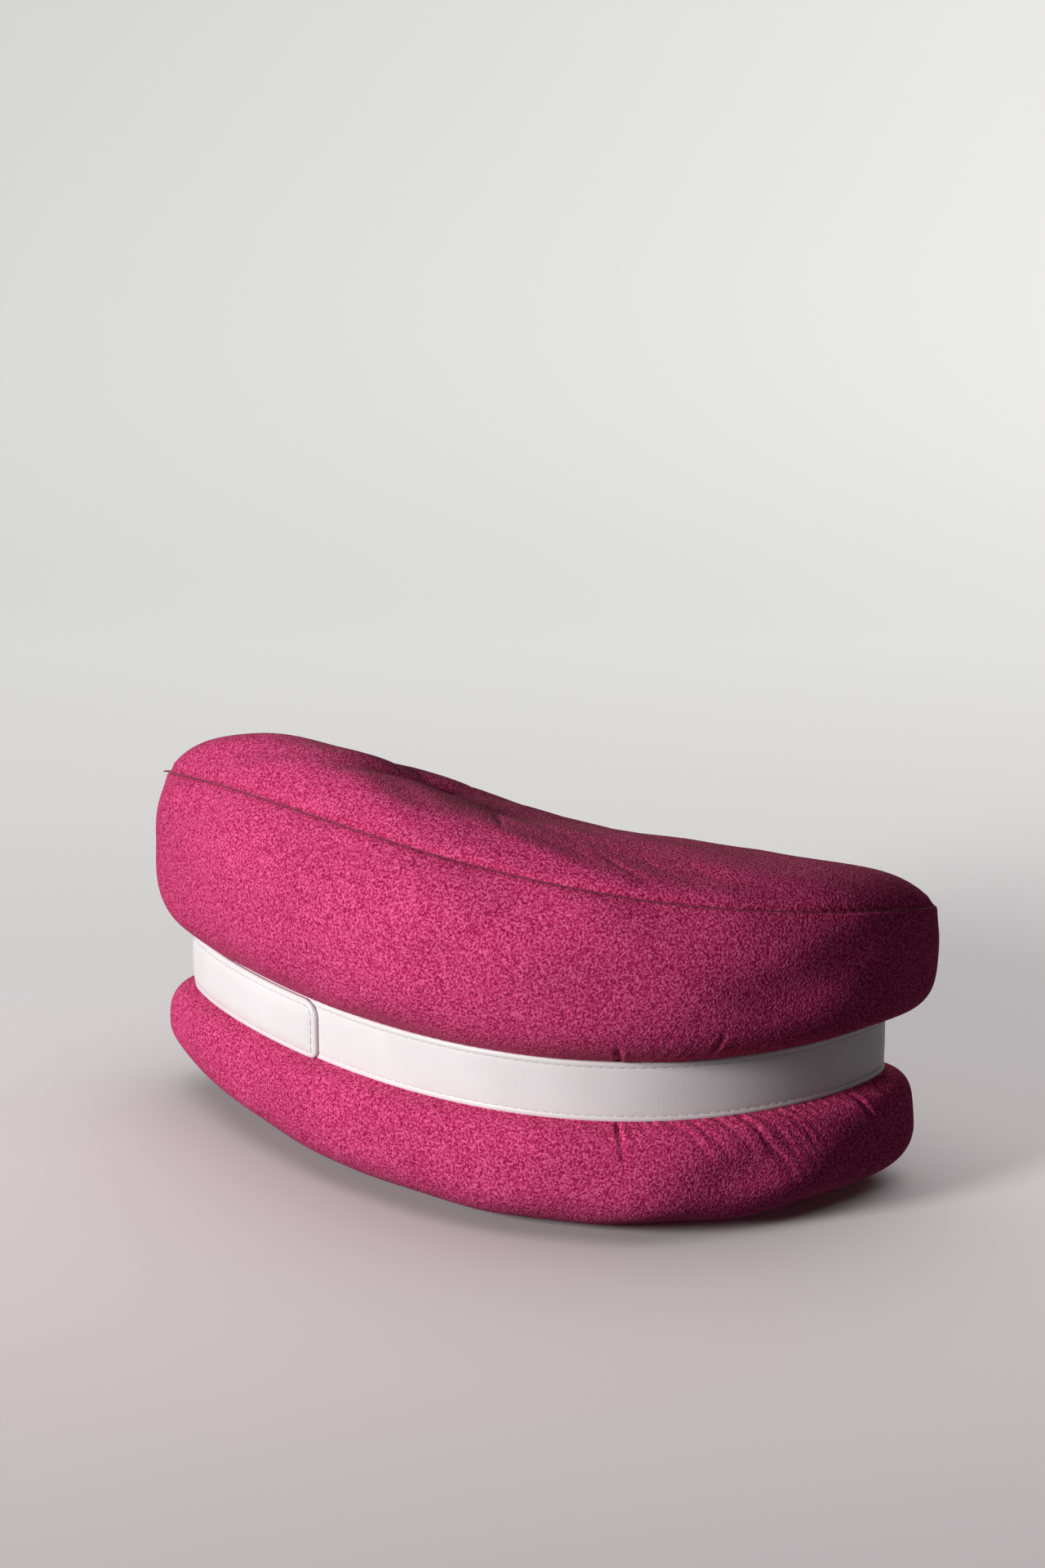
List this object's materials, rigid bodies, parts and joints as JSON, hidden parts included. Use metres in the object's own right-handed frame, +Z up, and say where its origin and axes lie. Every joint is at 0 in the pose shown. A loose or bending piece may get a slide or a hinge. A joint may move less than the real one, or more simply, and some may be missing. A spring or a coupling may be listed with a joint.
{
  "type": "pull buoy",
  "caption": "Swimmer's pull buoy: two textile-covered foam lobes cinched at the waist by a white coated strap with a hook-and-loop flap, and a zip at the rear.",
  "frame": {"origin": "on the floor, under the middle of the bounding box", "axes": "+X along the length towards the lower end of the upper lobe, +Y towards the straight rear, +Z up"},
  "size_m": [0.2663, 0.1213, 0.1296],
  "materials": {
    "foam": "closed-cell EVA foam, matte",
    "cover_fabric": "short-pile raspberry fleece with a fine speckled grain",
    "cover_thread": "polyester thread, matching the fabric, darker",
    "strap_coating": "white coated leatherette, satin",
    "strap_lining": "white woven backing",
    "strap_thread": "white polyester thread",
    "loop_tape": "white brushed loop tape",
    "hook_tape": "white moulded hook tape",
    "zip_tape": "woven raspberry zip tape",
    "zip_coil": "raspberry nylon coil",
    "zip_metal": "raspberry enamelled zinc"
  },
  "bodies": {
    "root": {"bottom_panel": "cover_fabric", "lower_float": "foam", "lower_side_wall": "cover_fabric", "lower_waist_seam": "cover_thread", "strap_backing": "strap_lining", "strap_band": "strap_coating", "strap_loop_patch": "loop_tape", "strap_stitch_lower": "strap_thread", "strap_stitch_upper": "strap_thread", "top_panel": "cover_fabric", "top_seam": "cover_thread", "upper_float": "foam", "upper_side_wall": "cover_fabric", "upper_waist_seam": "cover_thread", "waist_panel": "cover_fabric", "zip_coil": "zip_coil", "zip_stops": "zip_metal", "zip_tape": "zip_tape"},
    "flap": {"flap_cover": "strap_coating", "flap_lining": "strap_lining", "flap_stitching": "strap_thread", "flap_hook_patch": "hook_tape"},
    "slider": {"zip_slider": "zip_metal"},
    "pull": {"zip_pull": "zip_metal"}
  },
  "joints": [
    {"name": "flap_peel", "type": "hinge", "parent": "root", "child": "flap", "pos_m": [-0.12105, 0.02739, 0.0457], "axis": [0, 0, -1], "range_deg": [0, 120]},
    {"name": "zip_slide", "type": "slide", "parent": "root", "child": "slider", "axis": [1, 0, 0], "range_m": [0, 0.088]},
    {"name": "pull_tab_hinge", "type": "hinge", "parent": "slider", "child": "pull", "pos_m": [-0.053, 0.05935, 0.0714], "axis": [0, 0, 1], "range_deg": [0, 160]}
  ]
}
